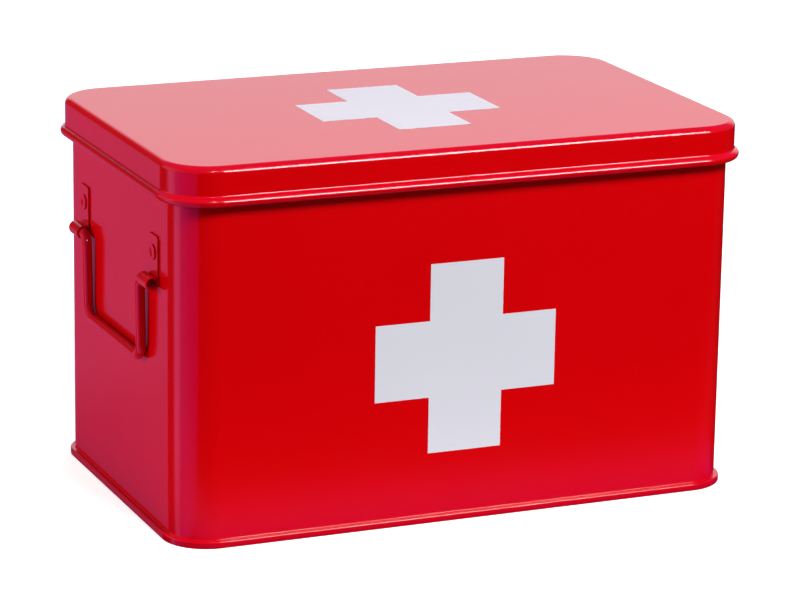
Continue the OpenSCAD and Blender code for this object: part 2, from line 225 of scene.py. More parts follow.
def soften(piece, width, segments=3, least=50):
    """Rounds off each edge where faces meet at more than an angle in degrees."""
    settings = {"limit_method": "ANGLE", "angle_limit": radians(least)}
    return modify(piece, "BEVEL", width=width, segments=segments, **settings)


def smooth(piece, most=SHEET_TURN):
    """Shades soft bends smooth and keeps flat faces flat, as on pressed metal."""
    only(piece)
    bpy.ops.object.shade_smooth_by_angle(angle=radians(most))
    return modify(piece, "WEIGHTED_NORMAL", keep_sharp=True, weight=80)


def to_left_end(piece):
    """Mirrors a piece of the right end to the left end, turns its faces out again and shades it afresh."""
    only(piece)
    bpy.ops.transform.mirror(
        orient_type="GLOBAL", constraint_axis=(True, False, False), center_override=(0, 0, 0)
    )
    face_out(settle(piece))
    bpy.ops.mesh.customdata_custom_splitnormals_clear()
    return smooth(piece, ROUND_TURN)


print("Ready to turn, soften and shade")

# %% [markdown]
# ## Lines
#
# Sheet and wire are both bent along a line. A line starts as a plane of which one corner is kept, and that
# corner is extruded from point to point. An arc is many short steps, so that a bend stays round in a close
# view.


# %% Draw a line
def arc(centre, radius, start, end, steps=10):
    """Points on a circle, from one angle in degrees to another."""
    turns = [radians(start + (end - start) * step / steps) for step in range(steps + 1)]
    return [(centre[0] + radius * cos(turn), centre[1] + radius * sin(turn)) for turn in turns]


def line_through(name, points, closed=False):
    """Extrudes one corner from point to point."""
    bpy.ops.object.select_all(action="DESELECT")
    bpy.ops.mesh.primitive_plane_add(size=1)
    piece = settle(bpy.context.active_object, name)
    pick(piece, "VERT", lambda corner: corner.index > 0)
    bpy.ops.mesh.delete(type="VERT")
    close_edit()
    start = piece.data.vertices[0].co.copy()
    pick(piece, "VERT")
    bpy.ops.transform.translate(value=Vector(points[0]) - start)
    for here, there in zip(points, [*points[1:], points[0]] if closed else points[1:]):
        step = Vector(there) - Vector(here)
        bpy.ops.mesh.extrude_vertices_move(TRANSFORM_OT_translate={"value": step})
    bpy.ops.mesh.select_all(action="SELECT")
    bpy.ops.mesh.remove_doubles(threshold=1e-6)
    close_edit()
    return piece


def as_curve(piece):
    only(piece)
    bpy.ops.object.convert(target="CURVE")
    return bpy.context.active_object


def as_mesh(piece, name):
    only(piece)
    bpy.ops.object.convert(target="MESH")
    piece = bpy.context.active_object
    piece.name = name
    piece.data.name = name
    return piece


print("A quarter turn has", len(arc((0, 0), 1, 0, 90)), "points")

# %% [markdown]
# ## Profiles carried round the box
#
# Body, base, lid and tray all follow the same rectangle with round corners, each a little further out or in.
# Rollers in the factory shape them in the same way: one profile, carried all round. The path is a plane whose
# four corners are beveled as points, made a curve. The profile is a line of distances outside the wall and
# heights, made the curve's bevel object. One operator then makes the whole sheet, with even corners.

# %% Carry a profile round the box
CORNER_STEPS = 24


def carry_round(name, profile, closed=False):
    """A surface with this profile all round the box."""
    section = as_curve(line_through("profile", [(out, up, 0) for out, up in profile], closed))
    bpy.ops.object.select_all(action="DESELECT")
    bpy.ops.mesh.primitive_plane_add(size=1)
    path = bpy.context.active_object
    path.scale = (2 * half_w, 2 * half_d, 1)
    settle(path)
    pick(path, "VERT")
    bpy.ops.mesh.bevel(offset=CORNER_R, segments=CORNER_STEPS, affect="VERTICES")
    bpy.ops.mesh.delete(type="ONLY_FACE")
    close_edit()
    path = as_curve(path)
    path.data.bevel_mode = "OBJECT"
    path.data.bevel_object = section
    piece = as_mesh(path, name)
    bpy.data.objects.remove(section)
    return face_out(piece)


def fill_middle(piece, height):
    """Closes the hole in the middle of a lid or a floor with one flat face."""
    def on_hole(edge):
        return edge.is_boundary and all(abs(end.co.z - height) < 1e-6 for end in edge.verts)

    pick(piece, "EDGE", on_hole)
    bpy.ops.mesh.edge_face_add()
    close_edit()
    return face_out(piece)


def sheet_of(piece, thickness=SHEET):
    """Gives a surface its thickness, half to each side."""
    modify(piece, "SOLIDIFY", thickness=thickness, offset=0, use_even_offset=True)
    return face_out(piece)


print("Each corner is bent in", CORNER_STEPS, "steps")

# %% [markdown]
# A few small things are plain blocks: the seam up the back, the dividers and their feet. A block also makes a
# good cutter for a notch.


# %% Make and cut blocks
def block(name, low, high, edge=0):
    """A cuboid between two corners, with its edges rounded off."""
    bpy.ops.object.select_all(action="DESELECT")
    bpy.ops.mesh.primitive_cube_add(size=1, location=[(a + b) / 2 for a, b in zip(low, high)])
    piece = bpy.context.active_object
    piece.scale = [b - a for a, b in zip(low, high)]
    settle(piece, name)
    if edge:
        pick(piece, "EDGE")
        bpy.ops.mesh.bevel(offset=edge, segments=2, affect="EDGES")
        close_edit()
    return piece


def cut(piece, cutter):
    """Takes one closed shape out of another."""
    modify(piece, "BOOLEAN", object=cutter, operation="DIFFERENCE", solver="EXACT")
    bpy.data.objects.remove(cutter)
    return piece


print("Ready to make and cut blocks")

# %% [markdown]
# ## Light
#
# The red is even on the front and nearly white on the lid, so the gloss does much of the work. What the
# paint is lit by and what its gloss mirrors are therefore set apart: `by_ray` gives camera rays, mirror rays
# and all other rays a shader each. The light on the paint is at a plain level, so that a paint shows about
# the colour it is given, and the contrast comes from what the gloss sees.


# %% Node helpers
def node_of(tree, kind, label="", **settings):
    """Adds a shader node, and sets its properties and the values of its sockets."""
    node = tree.nodes.new(kind)
    node.label = label
    for setting, value in settings.items():
        if hasattr(node, setting):
            setattr(node, setting, value)
        else:
            node.inputs[setting.replace("_", " ")].default_value = value
    return node


def fresh_tree(owner):
    """The emptied node tree of a material or a world."""
    owner.use_nodes = True
    owner.node_tree.nodes.clear()
    return owner.node_tree


def compute(tree, operation, *values):
    """A Math node on sockets and numbers."""
    node = node_of(tree, "ShaderNodeMath", operation=operation)
    for socket, value in zip(node.inputs, values):
        if isinstance(value, (int, float)):
            socket.default_value = value
        else:
            tree.links.new(value, socket)
    return node.outputs[0]


def ease(tree, value, low, high, at_low, at_high):
    """A smooth change from one number to another as a value goes from low to high."""
    node = node_of(tree, "ShaderNodeMapRange", interpolation_type="SMOOTHSTEP")
    limits = {"From Min": low, "From Max": high, "To Min": at_low, "To Max": at_high}
    for socket, number in limits.items():
        node.inputs[socket].default_value = number
    tree.links.new(value, node.inputs["Value"])
    return node.outputs["Result"]


def sum_of(tree, first, second):
    """Both shaders together."""
    node = node_of(tree, "ShaderNodeAddShader")
    tree.links.new(first, node.inputs[0])
    tree.links.new(second, node.inputs[1])
    return node.outputs[0]


def panorama(tree, ahead, aside, stops):
    """Colours by compass heading: 0 is behind the box, 90 its right end, -90 its left end, 180 the front."""
    bearing_of = compute(tree, "ARCTAN2", aside, ahead)
    share = compute(tree, "MULTIPLY_ADD", bearing_of, 1 / (2 * pi), 0.5)
    node = node_of(tree, "ShaderNodeValToRGB", "by heading")
    ramp = node.color_ramp
    for _ in range(len(stops) - 2):
        ramp.elements.new(0.5)
    for element, (bearing, color) in zip(ramp.elements, stops):
        element.position = bearing / 360 + 0.5
        element.color = (*color, 1)
    tree.links.new(share, node.inputs["Fac"])
    return node.outputs["Color"]


def by_ray(tree, mirrored, other, seen):
    """Gives mirror and glass rays, all other rays and the camera's rays each their own shader."""
    path = node_of(tree, "ShaderNodeLightPath")
    sharp = compute(tree, "MAXIMUM", path.outputs["Is Glossy Ray"], path.outputs["Is Transmission Ray"])
    below = other
    for choice, above in ((sharp, mirrored), (path.outputs["Is Camera Ray"], seen)):
        mix = node_of(tree, "ShaderNodeMixShader")
        tree.links.new(choice, mix.inputs[0])
        tree.links.new(below, mix.inputs[1])
        tree.links.new(above, mix.inputs[2])
        below = mix.outputs[0]
    return below


print("Ready to wire nodes")

# %% [markdown]
# The world is three things at once. The camera sees pure white. Diffuse rays find an even, mild sky, which
# fills the shadows. Mirror rays find the studio: the white backdrop behind the box and to its right, a dark
# gap to the left of it, which draws the dark line along the lid's left edge, a softer wall further left, and
# a dim room in front, under a violet ceiling. One picture of a studio would do the same, but these few
# colours by compass heading can be read and changed one by one.

# %% Light the world
SKY_FILL = 0.07
STUDIO_LEVEL = 1.1
STUDIO = [
    (-180, (0.20, 0.08, 0.20)),
    (-120, (0.20, 0.08, 0.20)),
    (-75, (0.60, 0.40, 0.60)),
    (-46, (0.60, 0.40, 0.60)),
    (-36, (0.06, 0.04, 0.06)),
    (-6, (0.06, 0.04, 0.06)),
    (7, (1.0, 0.89, 0.97)),
    (48, (1.0, 0.89, 0.97)),
    (66, (0.25, 0.08, 0.22)),
    (160, (0.20, 0.08, 0.20)),
]
CEILING = (0.25, 0.08, 0.40, 1)
CEILING_FROM, CEILING_FULL = 0.32, 0.5

world = bpy.data.worlds.new("studio")
bpy.context.scene.world = world
tree = fresh_tree(world)
way = node_of(tree, "ShaderNodeTexCoord")
axes = node_of(tree, "ShaderNodeSeparateXYZ")
tree.links.new(way.outputs["Generated"], axes.inputs[0])
seen = node_of(tree, "ShaderNodeBackground", "white", Color=(1, 1, 1, 1), Strength=1.0)
fill = node_of(tree, "ShaderNodeBackground", "even sky", Color=(1, 1, 1, 1), Strength=SKY_FILL)
studio = node_of(tree, "ShaderNodeBackground", "studio", Strength=STUDIO_LEVEL)
mix = node_of(tree, "ShaderNodeMix", "ceiling", data_type="RGBA")
mix.inputs["B"].default_value = CEILING
up = ease(tree, axes.outputs["Z"], CEILING_FROM, CEILING_FULL, 0.0, 1.0)
tree.links.new(up, mix.inputs["Factor"])
tree.links.new(panorama(tree, axes.outputs["Y"], axes.outputs["X"], STUDIO), mix.inputs["A"])
tree.links.new(mix.outputs["Result"], studio.inputs["Color"])
out = node_of(tree, "ShaderNodeOutputWorld")
tree.links.new(by_ray(tree, studio.outputs[0], fill.outputs[0], seen.outputs[0]), out.inputs["Surface"])
bpy.context.scene.view_settings.view_transform = "Standard"
print("The sky fills the shadows with", SKY_FILL)

# %% [markdown]
# The lamps share the work. Two show only in the gloss. The window, in front on the right, draws the thin
# bright lines along the lid's edge, the bead and the foot, and the spark carries them on towards the left.
# Both are rectangles, because a round lamp would draw short blobs where the photograph has long even lines.
# The other three light the paint and stay out of the gloss: one high in front, one on the left, which stands
# far back so that the front corner turns a little darker, and one behind.


# %% Hang the lamps
def hang_lamp(name, place, target, size, watts, mirrored):
    """A rectangular lamp that either shows in the gloss alone or lights the paint alone."""
    bpy.ops.object.light_add(type="AREA", location=place)
    lamp = bpy.context.active_object
    lamp.name = name
    lamp.rotation_euler = (Vector(target) - Vector(place)).to_track_quat("-Z", "Y").to_euler()
    lamp.data.shape = "RECTANGLE"
    lamp.data.size, lamp.data.size_y = size
    lamp.data.energy = watts
    lamp.visible_glossy = mirrored
    lamp.visible_diffuse = not mirrored


hang_lamp("window", (0.55, -1.30, 0.72), (0, -0.1, 0.12), (0.50, 0.50), 18, True)
hang_lamp("spark", (-0.25, -1.37, 0.99), (-0.15, -0.09, 0.2), (0.30, 0.10), 3.6, True)
hang_lamp("high_front", (0.35, -1.34, 1.46), (0, -0.05, 0.15), (0.8, 0.6), 44, False)
hang_lamp("left_fill", (-1.76, 0.55, 0.70), (-0.16, 0, 0.1), (0.8, 0.7), 19.5, False)
hang_lamp("back_fill", (0.90, 1.90, 0.75), (0, 0.1, 0.1), (1.4, 1.2), 24, False)
print("Five lamps hang")

# %% [markdown]
# ## The table
#
# The table could be a plain white plane, but its mirror image colours the walls more than its light does. So
# it too answers each kind of ray by itself. Its shaders need to know where on the table a ray lands: how far
# away from the box, and how far in front of it.

# %% Lay the table
TABLE_SIDE = 6.0
bpy.ops.object.select_all(action="DESELECT")
bpy.ops.mesh.primitive_plane_add(size=TABLE_SIDE)
table = settle(bpy.context.active_object, "table")
finish = bpy.data.materials.new("white_table")
table.data.materials.append(finish)
tree = fresh_tree(finish)
place = node_of(tree, "ShaderNodeTexCoord")
axes = node_of(tree, "ShaderNodeSeparateXYZ")
tree.links.new(place.outputs["Object"], axes.inputs[0])
x, y = axes.outputs["X"], axes.outputs["Y"]
to_side = compute(tree, "SUBTRACT", compute(tree, "ABSOLUTE", x), half_w)
to_front = compute(tree, "SUBTRACT", compute(tree, "ABSOLUTE", y), half_d)
away = compute(tree, "MAXIMUM", to_side, to_front)
in_front = compute(tree, "SUBTRACT", -half_d, y)
print("The table is", TABLE_SIDE, "m square")

# %% [markdown]
# Mirror rays see what lies on a photographer's table. Headings are counted from a point in the bend at the
# front left corner. A bright card to the left draws the light strip on that corner, and a violet one next to
# it tints the rest of the bend. Black card behind the bright one makes the dark line beside the strip. Dim
# crimson further back gives the left wall its cooler red, and fades to dim blue behind the box. All cards
# get brighter away from the box. In front the table is dark, apart from painted red light: a glow that stands
# in for the light which the red walls throw on it, with a painted contact shadow right at the foot.

# %% Lay the cards
CARD_CORNER = (-half_w + 0.15 * CORNER_R, -half_d + 0.47 * CORNER_R)
CARDS = [
    (-180, (0, 0, 0)),
    (-142, (0, 0, 0)),
    (-134, (0.06, 0.03, 0.42)),
    (-86, (0.08, 0.06, 0.70)),
    (-78, (1.0, 0.33, 1.0)),
    (-66, (1.0, 0.33, 1.0)),
    (-56, (0, 0, 0.02)),
    (-29, (0, 0, 0.02)),
    (-25, (0.30, 0.085, 0.24)),
    (-19, (0.28, 0.085, 0.24)),
    (-8, (0.06, 0.085, 0.24)),
    (40, (0.06, 0.085, 0.24)),
    (55, (0, 0, 0)),
]
CARD_NEAR, CARD_FAR = 0.85, 1.45
CARD_RISE = 180 * mm
# Painted light: a red glow on the table near the box, seen only in mirror rays, stands in for the red light
# that the walls throw on it.
RED_BOUNCE_COLOR = (1, 0.02, 0.54, 1)
RED_BOUNCE_REACH = 110 * mm
RED_BOUNCE_LEVEL, RED_BOUNCE_BESIDE = 0.9, 0.08
# Painted shade: the red glow is darker within a few millimetres of the box, as a contact shadow.
CONTACT_SHADE_FROM, CONTACT_SHADE_TO = 3 * mm, 14 * mm
CONTACT_SHADE_LEVEL = 0.45

cards = node_of(tree, "ShaderNodeEmission", "cards")
tree.links.new(ease(tree, away, 0.0, CARD_RISE, CARD_NEAR, CARD_FAR), cards.inputs["Strength"])
ahead = compute(tree, "SUBTRACT", y, CARD_CORNER[1])
aside = compute(tree, "SUBTRACT", x, CARD_CORNER[0])
tree.links.new(panorama(tree, ahead, aside, CARDS), cards.inputs["Color"])
# Painted red bounce light on the table: it fades away from the box, is weaker beside it than in front, and
# has a painted contact shadow at the foot.
red_bounce = node_of(tree, "ShaderNodeEmission", "painted red bounce light", Color=RED_BOUNCE_COLOR)
fading = ease(tree, away, 0.0, RED_BOUNCE_REACH, RED_BOUNCE_LEVEL, 0.0)
contact = ease(tree, away, CONTACT_SHADE_FROM, CONTACT_SHADE_TO, CONTACT_SHADE_LEVEL, 1.0)
at_front = ease(tree, in_front, -CORNER_R, 0.0, RED_BOUNCE_BESIDE, 1.0)
close_by = compute(tree, "MULTIPLY", fading, contact)
tree.links.new(compute(tree, "MULTIPLY", close_by, at_front), red_bounce.inputs["Strength"])
mirrored = sum_of(tree, cards.outputs[0], red_bounce.outputs[0])
print(len(CARDS), "stops describe the cards round the box")

# %% [markdown]
# Diffuse rays find a dark table, so that little red is thrown back and forth, and a pool of light in front of
# the box, which lifts the foot of the front wall. The pool fades right under the foot seam, as light does in
# a contact shadow. The camera sees the table white, with the box's soft shadow on it: a diffuse white takes
# the shadow, and a plain glow lifts it to the white of the background.

# %% Light and whiten the table
POOL_REACH = 150 * mm
POOL_LEVEL, POOL_BESIDE = 1.35, 0.6
GAP_FROM, GAP_TO = 4 * mm, 30 * mm
GAP_LEVEL = 0.10
DIM = (0.12, 0.12, 0.12, 1)
WHITE = (0.80, 0.80, 0.80, 1)
LIFT = 0.70

dim = node_of(tree, "ShaderNodeBsdfDiffuse", "bounce", Color=DIM)
pool = node_of(tree, "ShaderNodeEmission", "pool of light")
forward = ease(tree, in_front, 0.0, POOL_REACH, POOL_LEVEL, 0.0)
beside = ease(tree, in_front, -CORNER_R, 0.0, POOL_BESIDE, 1.0)
clear = ease(tree, away, GAP_FROM, GAP_TO, GAP_LEVEL, 1.0)
spread = compute(tree, "MULTIPLY", forward, beside)
tree.links.new(compute(tree, "MULTIPLY", spread, clear), pool.inputs["Strength"])
bounce = sum_of(tree, dim.outputs[0], pool.outputs[0])
white = node_of(tree, "ShaderNodeBsdfDiffuse", "white", Color=WHITE)
lift = node_of(tree, "ShaderNodeEmission", "lift to white", Color=(1, 1, 1, 1), Strength=LIFT)
seen = sum_of(tree, white.outputs[0], lift.outputs[0])
out = node_of(tree, "ShaderNodeOutputMaterial")
tree.links.new(by_ray(tree, mirrored, bounce, seen), out.inputs["Surface"])
print("The pool of light reaches", round(POOL_REACH / mm), "mm in front")

# %% [markdown]
# ## The finishes
#
# Powder coat flows when it is baked, and keeps a faint orange-peel ripple and very slight changes in tone.
# White enamel does the same on a smaller scale. Picture textures would do, but noise needs no file and stays
# sharp. Both paints use one node group, `coat`, which puts out a colour, a roughness and a normal. The
# shader itself stays in each material.

# %% Build the coat group
COAT_INPUTS = (
    ("Color", "NodeSocketColor", (1, 1, 1, 1)),
    ("Deep Color", "NodeSocketColor", (1, 1, 1, 1)),
    ("Roughness", "NodeSocketFloat", 0.2),
    ("Roughness Spread", "NodeSocketFloat", 0.05),
    ("Peel Scale", "NodeSocketFloat", 400.0),
    ("Peel Height", "NodeSocketFloat", 0.05),
)
COAT_OUTPUTS = (
    ("Color", "NodeSocketColor"),
    ("Roughness", "NodeSocketFloat"),
    ("Normal", "NodeSocketVector"),
)


def make_coat():
    """The node group of both paints."""
    group = bpy.data.node_groups.new("coat", "ShaderNodeTree")
    for name, kind, value in COAT_INPUTS:
        group.interface.new_socket(name=name, in_out="INPUT", socket_type=kind).default_value = value
    for name, kind in COAT_OUTPUTS:
        group.interface.new_socket(name=name, in_out="OUTPUT", socket_type=kind)
    start = group.nodes.new("NodeGroupInput")
    end = group.nodes.new("NodeGroupOutput")
    place = node_of(group, "ShaderNodeTexCoord")
    clouds = node_of(group, "ShaderNodeTexNoise", "slow change of tone", Scale=14.0, Detail=3.0)
    wiped = node_of(group, "ShaderNodeTexNoise", "wiped patches", Scale=55.0, Detail=6.0, Distortion=0.6)
    peel = node_of(group, "ShaderNodeTexNoise", "orange peel", Detail=1.0)
    tone = node_of(group, "ShaderNodeMix", "tone", data_type="RGBA")
    bump = node_of(group, "ShaderNodeBump", "ripple", Distance=0.0002)
    link = group.links.new
    for texture in (clouds, wiped, peel):
        link(place.outputs["Object"], texture.inputs["Vector"])
    link(start.outputs["Peel Scale"], peel.inputs["Scale"])
    link(clouds.outputs["Fac"], tone.inputs["Factor"])
    link(start.outputs["Color"], tone.inputs["A"])
    link(start.outputs["Deep Color"], tone.inputs["B"])
    off_middle = compute(group, "SUBTRACT", wiped.outputs["Fac"], 0.5)
    amount, base_level = start.outputs["Roughness Spread"], start.outputs["Roughness"]
    rough = compute(group, "MULTIPLY_ADD", off_middle, amount, base_level)
    link(peel.outputs["Fac"], bump.inputs["Height"])
    link(start.outputs["Peel Height"], bump.inputs["Strength"])
    link(tone.outputs["Result"], end.inputs["Color"])
    link(rough, end.inputs["Roughness"])
    link(bump.outputs["Normal"], end.inputs["Normal"])
    return group


coat = make_coat()
print("The coat group has", len(coat.nodes), "nodes")

# %% [markdown]
# The two paints differ only in their values. The red is deep and glossy, with no green and hardly any blue
# in it, because all the pink that shows on the lid comes from its gloss. The enamel of the crosses is a
# faintly violet white, and dries satin.


# %% Mix the paints
def painted(name, values, **shader):
    """A paint: the coat group with its own values, and a shader."""
    material = bpy.data.materials.new(name)
    tree = fresh_tree(material)
    layer = tree.nodes.new("ShaderNodeGroup")
    layer.node_tree = coat
    for socket, value in values.items():
        layer.inputs[socket].default_value = value
    surface = node_of(tree, "ShaderNodeBsdfPrincipled", **shader)
    out = node_of(tree, "ShaderNodeOutputMaterial")
    tree.links.new(layer.outputs["Color"], surface.inputs["Base Color"])
    tree.links.new(layer.outputs["Roughness"], surface.inputs["Roughness"])
    tree.links.new(layer.outputs["Normal"], surface.inputs["Normal"])
    tree.links.new(surface.outputs[0], out.inputs["Surface"])
    return material


red_coat = painted(
    "red_powder_coat",
    {"Color": (0.64, 0, 0.002, 1), "Deep Color": (0.60, 0, 0.0015, 1), "Roughness": 0.12,
     "Roughness Spread": 0.04, "Peel Scale": 420.0, "Peel Height": 0.05},
    IOR=1.5,
)
white_enamel = painted(
    "white_cross_enamel",
    {"Color": (0.67, 0.67, 0.74, 1), "Deep Color": (0.64, 0.64, 0.71, 1), "Roughness": 0.34,
     "Roughness Spread": 0.06, "Peel Scale": 900.0, "Peel Height": 0.03},
    IOR=1.45,
)
print("Paints:", red_coat.name, white_enamel.name)

# %% [markdown]
# The wire in the lid's bead and the tray's grips are bare drawn steel. Drawing leaves very fine scratches and
# a slightly uneven grey. Noise at two scales is enough for so thin a wire: the fine one roughens it as the
# scratches do, and the coarse one changes its tone and its roughness.

# %% Draw the steel
LIGHT_STEEL = (0.62, 0.63, 0.65, 1)
DARK_STEEL = (0.46, 0.46, 0.47, 1)
POLISHED, STAINED = 0.22, 0.38


def make_steel():
    """Bare drawn wire."""
    material = bpy.data.materials.new("drawn_steel")
    tree = fresh_tree(material)
    place = node_of(tree, "ShaderNodeTexCoord")
    scratches = node_of(tree, "ShaderNodeTexNoise", "scratches", Scale=2200.0, Detail=2.0)
    stains = node_of(tree, "ShaderNodeTexNoise", "stains", Scale=90.0, Detail=5.0)
    tone = node_of(tree, "ShaderNodeMix", "tone", data_type="RGBA")
    tone.inputs["A"].default_value = LIGHT_STEEL
    tone.inputs["B"].default_value = DARK_STEEL
    bump = node_of(tree, "ShaderNodeBump", "scratch depth", Strength=0.15, Distance=0.00005)
    surface = node_of(tree, "ShaderNodeBsdfPrincipled", Metallic=1.0)
    out = node_of(tree, "ShaderNodeOutputMaterial")
    link = tree.links.new
    link(place.outputs["Object"], scratches.inputs["Vector"])
    link(place.outputs["Object"], stains.inputs["Vector"])
    link(stains.outputs["Fac"], tone.inputs["Factor"])
    link(tone.outputs["Result"], surface.inputs["Base Color"])
    link(ease(tree, stains.outputs["Fac"], 0.3, 0.7, POLISHED, STAINED), surface.inputs["Roughness"])
    link(scratches.outputs["Fac"], bump.inputs["Height"])
    link(bump.outputs["Normal"], surface.inputs["Normal"])
    link(surface.outputs[0], out.inputs["Surface"])
    return material


steel = make_steel()
print("Bare metal:", steel.name)

# %% [markdown]
# Every finished piece is dressed in the same way. It gets its finish and the body that it moves with, and
# it takes the place of the plain solid that it was modelled after. One helper does this, so that no piece
# misses a part of it.


# %% Dress a finished piece
def dress(piece, material, slot, body, *stands_for):
    """Gives a finished piece its material and body, and the nodes that it stands for; the slot is not used.
    """
    settle(piece)
    piece.data.materials.clear()
    piece.data.materials.append(material)
    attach(piece, body)
    if stands_for:
        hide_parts(*stands_for)
    print(f"{piece.name}: {len(piece.data.polygons)} faces, rides on {body}")
    return piece


print("Ready to dress pieces")

# %% [markdown]
# ## The body
#
# One sheet is bent round four corners and seamed up the back. Its top edge is rolled inwards, so that nobody
# cuts a hand on it. The profile is the middle line of the sheet, with the roll at its end, and Solidify makes
# the sheet from it: an outline of both faces would be twice the work, and its thickness might vary.

# %% Bend the body wall
RIM_R = 1.5 * mm
RIM_TURN = 285
WALL_FOOT = 1.0 * mm
SEAM_W = 7 * mm
SEAM_END_GAP = 1 * mm
SEAM_EDGE = 0.25 * mm
roll = arc((-RIM_R, rim_top - RIM_R), RIM_R - mid, 0, RIM_TURN, 20)
wall = sheet_of(carry_round("wall", [(-mid, WALL_FOOT)] + roll))
seam = block(
    "seam",
    (-SEAM_W / 2, half_d - mid, foot_top + SEAM_END_GAP),
    (SEAM_W / 2, half_d + SHEET, rim_top - 2 * RIM_R - SEAM_END_GAP),
    edge=SEAM_EDGE,
)
body = smooth(weld("body", wall, seam))
dress(body, red_coat, "red_coat", "box", "body_wall")

# %% [markdown]
# ## The base
#
# The base is a shallow pan. Its edge is folded round the foot of the wall and squeezed flat, which leaves a
# seam that stands proud all round. Where the seam meets the wall, the paint fills the corner with a small
# hollow. That hollow is worth modelling: it is what draws the second bright line above the seam's own.

# %% Fold the base
FOOT_R = 0.8 * mm
FILL_R = 0.5 * mm
PAN_LIFT = 2.9 * mm
foot_in = -2 * SHEET - FOLD_GAP
flat = foot_out - FOOT_R
foot_profile = (
    [(foot_in, 0)]
    + arc((flat, FOOT_R), FOOT_R, -90, 0, 8)
    + arc((flat, foot_top - FOOT_R), FOOT_R, 0, 90, 8)
    + arc((FILL_R, foot_top + FILL_R), FILL_R, 270, 180, 6)
    + [(-mid, foot_top + FILL_R), (foot_in, foot_top)]
)
foot = carry_round("foot", foot_profile, closed=True)
pan_z = PAN_LIFT + mid
pan = carry_round("pan", [(-CORNER_R / 2, pan_z), (foot_in + mid, pan_z)])
pan = sheet_of(fill_middle(pan, pan_z))
base = smooth(weld("base", foot, pan))
dress(base, red_coat, "red_coat", "box", "base_panel")

# %% [markdown]
# ## The lid
#
# The lid is drawn in a press, so its top edge has one even radius and its corners are round in both
# directions. Its hem flares out over a steel wire and curls round it. Both fit in one profile: top, edge,
# skirt, a hollow where it flares, and the curl. The hollow touches both the skirt and the curl, and its
# middle follows from that.

# %% Press the lid
SKIRT_OUT = 4.2 * mm
LID_EDGE_R = 3.6 * mm
FLARE_R = 1.2 * mm
CURL_END = -235
line_out = SKIRT_OUT - mid
curl_r = wire_r + FOLD_GAP + mid
flare_r = FLARE_R + mid
flare_out = line_out + flare_r
flare_up = sqrt((curl_r + flare_r) ** 2 - (flare_out - bead_out) ** 2)
meet = degrees(atan2(flare_up, flare_out - bead_out))
lid_profile = (
    [(-CORNER_R / 2, lid_top - mid)]
    + arc((SKIRT_OUT - LID_EDGE_R, lid_top - LID_EDGE_R), LID_EDGE_R - mid, 90, 0, 12)
    + arc((flare_out, bead_z + flare_up), flare_r, 180, 180 + meet, 8)
    + arc((bead_out, bead_z), curl_r, meet, CURL_END, 36)[1:]
)
lid = sheet_of(fill_middle(carry_round("lid", lid_profile), lid_top - mid))
print("The hollow meets the curl at", round(meet), "degrees")

# %% [markdown]
# The hinge straps reach the wire through two notches in the curl. They are cut by Boolean, with a block a
# little wider than the strap. The wire shows there as bare steel.

# %% Notch the lid
STRAP_T = 0.8 * mm
STRAP_FIT = 0.05 * mm
NOTCH_GAP = 1.0 * mm
NOTCH_REACH = 12 * mm
strap_boxes = [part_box("hinge_strap_left"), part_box("hinge_strap_right")]
notch_h = wire_r + STRAP_FIT + STRAP_T + NOTCH_GAP
for low, high in strap_boxes:
    notch_low = (low.x - NOTCH_GAP, half_d, bead_z - notch_h)
    notch_high = (high.x + NOTCH_GAP, half_d + NOTCH_REACH, bead_z + notch_h)
    cut(lid, block("notch", notch_low, notch_high))
dress(smooth(lid), red_coat, "red_coat", "lid", "lid_shell")
nodes["lid_edge_wire"].data.materials[0] = steel

# %% [markdown]
# ## Handle brackets
#
# A bracket is a strip of steel whose lower end is rolled into a barrel for the handle. A cylinder joined to a
# plate would have a seam between them. So the strip is one line, straight and then round the pivot, extruded
# to its width, given its thickness, and softened along its edges.


# %% Make a strip
def ribbon(name, line, across):
    """A surface along a line of points, its width extruded evenly to both sides."""
    piece = line_through(name, line)
    pick(piece, "EDGE")
    bpy.ops.transform.translate(value=-Vector(across) / 2)
    bpy.ops.mesh.extrude_edges_move(TRANSFORM_OT_translate={"value": across})
    close_edit()
    return piece


def thicken(piece, thickness, edge):
    """Makes a ribbon a sheet with soft edges."""
    return soften(sheet_of(face_out(piece), thickness), edge)


def strip(name, line, across, thickness, edge, corner=0):
    """A strip of sheet along a line of points, with its first end rounded."""
    piece = ribbon(name, line, across)
    if corner:
        half = Vector(across) / 2
        ends = (Vector(line[0]) - half, Vector(line[0]) + half)
        pick(piece, "VERT", lambda point: any((point.co - end).length < CLOSE for end in ends))
        bpy.ops.mesh.bevel(offset=corner, segments=6, affect="VERTICES")
        close_edit()
    return thicken(piece, thickness, edge)


print("Ready to make strips")

# %% [markdown]
# The four brackets are the same pressing. It is made once, in the middle, and copied to the front and the
# rear of both ends. The left ones are mirrored.

# %% Roll the brackets
BRACKET_T = 1 * mm
BRACKET_CORNER = 2 * mm
BRACKET_EDGE = 0.25 * mm
BARREL_TURN = 312
low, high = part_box("bracket_right_front")
bracket_w = high.y - low.y
barrel_r = (high.x - low.x) / 2
pivot = Vector((low.x + barrel_r, 0, low.z + barrel_r))
barrel_mid = barrel_r - BRACKET_T / 2
barrel = arc((pivot.x, pivot.z), barrel_mid, 180, 180 + BARREL_TURN, 60)
points = [(x, 0, z) for x, z in [(pivot.x - barrel_mid, high.z)] + barrel]
master = smooth(strip("bracket", points, (0, bracket_w, 0), BRACKET_T, BRACKET_EDGE, BRACKET_CORNER))
for end in ENDS:
    for side in ("front", "rear"):
        node = f"bracket_{end}_{side}"
        low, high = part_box(node)
        bracket = shift(copy_of(master, f"rolled_{node}"), (0, (low.y + high.y) / 2, 0))
        if end == "left":
            to_left_end(bracket)
        dress(bracket, red_coat, "red_coat", "box", node)
bpy.data.objects.remove(master)

